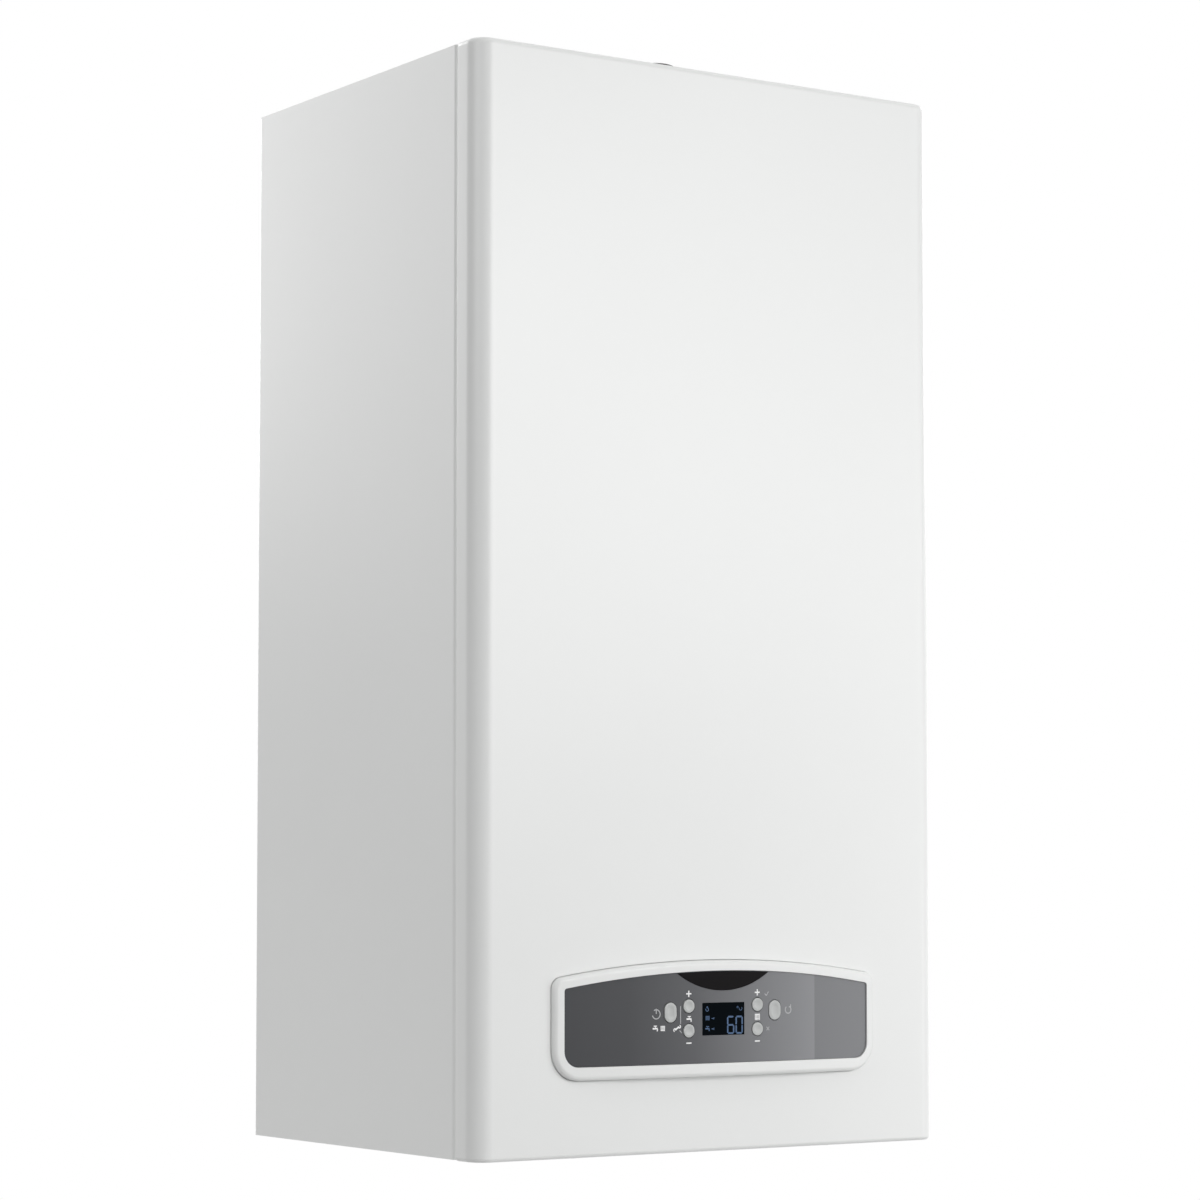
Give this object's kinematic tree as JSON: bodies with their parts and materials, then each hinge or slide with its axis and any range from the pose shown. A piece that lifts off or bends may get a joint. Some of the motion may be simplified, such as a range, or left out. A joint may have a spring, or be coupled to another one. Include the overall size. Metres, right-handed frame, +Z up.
{
  "type": "wall-hung gas boiler",
  "caption": "Wall-hung gas boiler: white sheet-metal casing with an arched grey control panel that tilts down, concentric flue outlet on top and pipe connections below.",
  "frame": {"origin": "on the wall plane, midway between the two slots of the hanging bracket", "axes": "+X to the right seen from the front, +Y from the front into the wall, +Z up"},
  "size_m": [0.4, 0.325, 0.7945],
  "materials": {
    "white_enamel": "satin",
    "zinc_sheet": "satin",
    "bright_screw": "satin",
    "dark_plastic": "matte",
    "white_plastic": "satin",
    "grey_fascia": "satin",
    "black_plate": "gloss",
    "display_lens": "gloss",
    "grey_button": "satin",
    "circuit_board": "satin",
    "seal_rubber": "matte",
    "clear_glass": "clear",
    "stainless": "satin",
    "ceramic": "matte",
    "ceramic_fibre": "matte",
    "copper": "satin",
    "aluminium": "satin",
    "switch_plastic": "satin",
    "red_enamel": "satin",
    "cast_iron": "matte",
    "brass": "satin",
    "yellow_brass": "satin",
    "black_plastic": "matte",
    "red_plastic": "satin",
    "blue_plastic": "satin",
    "needle_red": "matte"
  },
  "bodies": {
    "boiler_frame": {"wall_bracket": "zinc_sheet", "rear_frame": "zinc_sheet", "lower_frame": "zinc_sheet", "top_plate": "white_enamel", "side_panel_left": "white_enamel", "side_panel_right": "white_enamel", "sheet_metal_screws": "bright_screw", "sealed_chamber": "zinc_sheet", "chamber_gasket": "seal_rubber", "chamber_cover": "zinc_sheet", "sight_glass": "clear_glass", "gas_manifold": "aluminium", "burner": "stainless", "ignition_electrodes": "ceramic", "combustion_chamber": "stainless", "insulation_panels": "ceramic_fibre", "heat_exchanger": "copper", "flue_hood": "aluminium", "fan_housing": "aluminium", "fan_motor": "stainless", "air_pressure_switch": "switch_plastic", "pressure_tubes": "seal_rubber", "flue_collar": "aluminium", "test_point_cap": "black_plastic", "air_intake_cover": "white_enamel", "expansion_vessel": "red_enamel", "pump_body": "cast_iron", "diverter_valve": "brass", "diverter_actuator": "black_plastic", "plate_exchanger": "stainless", "gas_valve": "aluminium", "gas_pipe": "yellow_brass", "heating_pipes": "copper", "water_pipes": "copper", "safety_valve": "brass", "filling_tap": "brass", "pressure_gauge": "black_plastic", "flow_sensor": "black_plastic", "cable_gland": "black_plastic"},
    "control_box": {"control_box": "dark_plastic", "control_box_cover": "dark_plastic", "control_bezel": "white_plastic", "control_fascia": "grey_fascia", "badge_plate": "black_plate", "display_window": "display_lens", "display_board": "circuit_board", "main_board": "circuit_board"},
    "front_casing": {"front_casing": "white_enamel"},
    "power_button": {"power_button": "grey_button"},
    "reset_button": {"reset_button": "grey_button"},
    "hot_water_plus_button": {"hot_water_plus_button": "grey_button"},
    "hot_water_minus_button": {"hot_water_minus_button": "grey_button"},
    "heating_plus_button": {"heating_plus_button": "grey_button"},
    "heating_minus_button": {"heating_minus_button": "grey_button"},
    "fan_impeller": {"fan_impeller": "aluminium"},
    "pump_rotor": {"pump_rotor": "stainless"},
    "diverter_spindle": {"diverter_spindle": "stainless"},
    "filling_knob": {"filling_knob": "blue_plastic"},
    "safety_valve_knob": {"safety_valve_knob": "red_plastic"},
    "gauge_needle": {"gauge_needle": "needle_red"}
  },
  "joints": [
    {"name": "casing_pull", "type": "slide", "parent": "boiler_frame", "child": "front_casing", "axis": [0, -1, 0], "range_m": [0, 0.6]},
    {"name": "control_box_tilt", "type": "hinge", "parent": "boiler_frame", "child": "control_box", "pos_m": [0, -0.298, -0.678], "axis": [1, 0, 0], "range_deg": [0, 76]},
    {"name": "power_press", "type": "slide", "parent": "control_box", "child": "power_button", "axis": [0, 1, 0], "range_m": [0, 0.0012], "stiffness_N_per_m": 400},
    {"name": "reset_press", "type": "slide", "parent": "control_box", "child": "reset_button", "axis": [0, 1, 0], "range_m": [0, 0.0012], "stiffness_N_per_m": 400},
    {"name": "hot_water_plus_press", "type": "slide", "parent": "control_box", "child": "hot_water_plus_button", "axis": [0, 1, 0], "range_m": [0, 0.0012], "stiffness_N_per_m": 400},
    {"name": "hot_water_minus_press", "type": "slide", "parent": "control_box", "child": "hot_water_minus_button", "axis": [0, 1, 0], "range_m": [0, 0.0012], "stiffness_N_per_m": 400},
    {"name": "heating_plus_press", "type": "slide", "parent": "control_box", "child": "heating_plus_button", "axis": [0, 1, 0], "range_m": [0, 0.0012], "stiffness_N_per_m": 400},
    {"name": "heating_minus_press", "type": "slide", "parent": "control_box", "child": "heating_minus_button", "axis": [0, 1, 0], "range_m": [0, 0.0012], "stiffness_N_per_m": 400},
    {"name": "fan_spin", "type": "hinge", "parent": "boiler_frame", "child": "fan_impeller", "pos_m": [0.055, -0.15, -0.0223], "axis": [0, 1, 0], "continuous": true},
    {"name": "pump_spin", "type": "hinge", "parent": "boiler_frame", "child": "pump_rotor", "pos_m": [0.13, -0.18, -0.588], "axis": [0, 1, 0], "continuous": true},
    {"name": "diverter_stroke", "type": "slide", "parent": "boiler_frame", "child": "diverter_spindle", "axis": [0, 0, 1], "range_m": [0, 0.007]},
    {"name": "filling_knob_turn", "type": "hinge", "parent": "boiler_frame", "child": "filling_knob", "pos_m": [0.0975, -0.095, -0.69], "axis": [0, 0, 1], "range_deg": [0, 360]},
    {"name": "safety_knob_turn", "type": "hinge", "parent": "boiler_frame", "child": "safety_valve_knob", "pos_m": [0.13, -0.16, -0.66], "axis": [0, 1, 0], "range_deg": [0, 90]},
    {"name": "gauge_needle_swing", "type": "hinge", "parent": "boiler_frame", "child": "gauge_needle", "pos_m": [-0.032, -0.15, -0.6892], "axis": [0, 0, 1], "range_deg": [0, 270]}
  ],
  "couplings": [
    {"joint": "control_box_tilt", "follows": "casing_pull", "rad_per_m": 2.1817}
  ]
}
